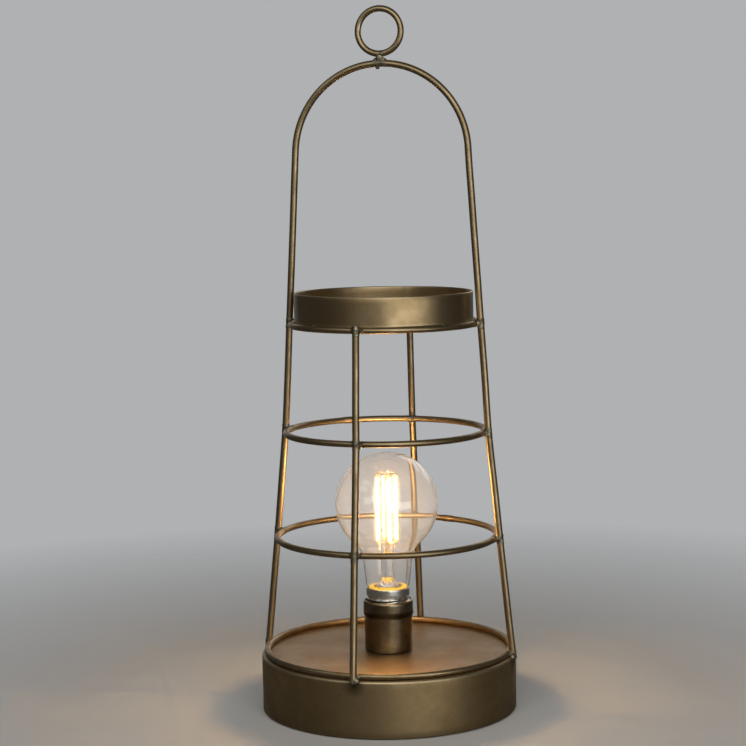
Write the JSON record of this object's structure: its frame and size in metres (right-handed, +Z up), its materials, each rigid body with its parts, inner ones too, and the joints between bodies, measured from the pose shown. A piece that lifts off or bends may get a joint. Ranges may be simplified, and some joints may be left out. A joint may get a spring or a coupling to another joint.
{
  "type": "lantern table lamp",
  "caption": "Table lamp shaped like a lantern: a drum base, a tapering wire cage with hoops, a crown band, a tall arch with a hanging ring, and a screw-in filament lamp.",
  "frame": {"origin": "middle of the footprint, on the surface that the lamp stands on", "axes": "+Z up; the front leg stands on -Y, and the arch with its two legs lies in the XZ plane"},
  "size_m": [0.1552, 0.1552, 0.4102],
  "materials": {
    "aged_brass": "aged brass lacquer over steel, satin",
    "weld_metal": "lacquered weld bead, satin, slightly paler",
    "holder_bronze": "dark bronze lacquer, satin",
    "cover_black": "matt black powder coat",
    "zinc_steel": "bright zinc plate",
    "pad_foam": "black foam rubber, matt",
    "grommet_rubber": "black moulded rubber, matt",
    "carrier_ceramic": "white glazed ceramic",
    "contact_brass": "bare brass strip",
    "cap_nickel": "nickel plated brass, satin",
    "insulator_black": "black glass insulator, glossy",
    "bulb_glass": "clear thin glass",
    "stem_glass": "clear glass",
    "lead_wire": "drawn nickel-iron wire",
    "filament_coat": "yellow phosphor coat, lit from within",
    "driver_yellow": "yellow moulded disc, satin"
  },
  "bodies": {
    "lamp_frame": {"arch_leg_wire": "aged_brass", "back_leg_wire": "aged_brass", "base_pan": "aged_brass", "base_rim_wire": "aged_brass", "bottom_cover": "cover_black", "centre_contact": "contact_brass", "contact_carrier": "carrier_ceramic", "cover_brackets": "zinc_steel", "cover_screws": "zinc_steel", "crown_band": "aged_brass", "crown_band_tacks": "weld_metal", "crown_ring_welds": "weld_metal", "crown_ring_wire": "aged_brass", "earth_tag": "contact_brass", "foot_pads": "pad_foam", "foot_welds": "weld_metal", "front_leg_wire": "aged_brass", "hanging_ring": "aged_brass", "hanging_ring_weld": "weld_metal", "holder_shell": "holder_bronze", "inlet_grommet": "grommet_rubber", "lock_washer": "zinc_steel", "lower_hoop": "aged_brass", "lower_hoop_welds": "weld_metal", "nipple_nuts": "zinc_steel", "side_contact": "contact_brass", "terminal_blocks": "contact_brass", "terminal_screws": "zinc_steel", "threaded_nipple": "zinc_steel", "upper_hoop": "aged_brass", "upper_hoop_welds": "weld_metal"},
    "bulb_lift": {"cap_tip_contact": "contact_brass"},
    "bulb": {"glass_envelope": "bulb_glass", "glass_stem": "stem_glass", "stem_lead_wires": "lead_wire", "filaments": "filament_coat", "filament_top_ring": "lead_wire", "driver_disc": "driver_yellow", "cap_shell": "cap_nickel", "cap_insulator": "insulator_black"}
  },
  "joints": [
    {"name": "bulb_rise", "type": "slide", "parent": "lamp_frame", "child": "bulb_lift", "axis": [0, 0, 1], "range_m": [0, 0.0091]},
    {"name": "bulb_turn", "type": "hinge", "parent": "bulb_lift", "child": "bulb", "pos_m": [0, 0, 0.05], "axis": [0, 0, 1], "range_deg": [0, 900]}
  ],
  "couplings": [
    {"joint": "bulb_rise", "follows": "bulb_turn", "m_per_rad": 0.00057757}
  ]
}
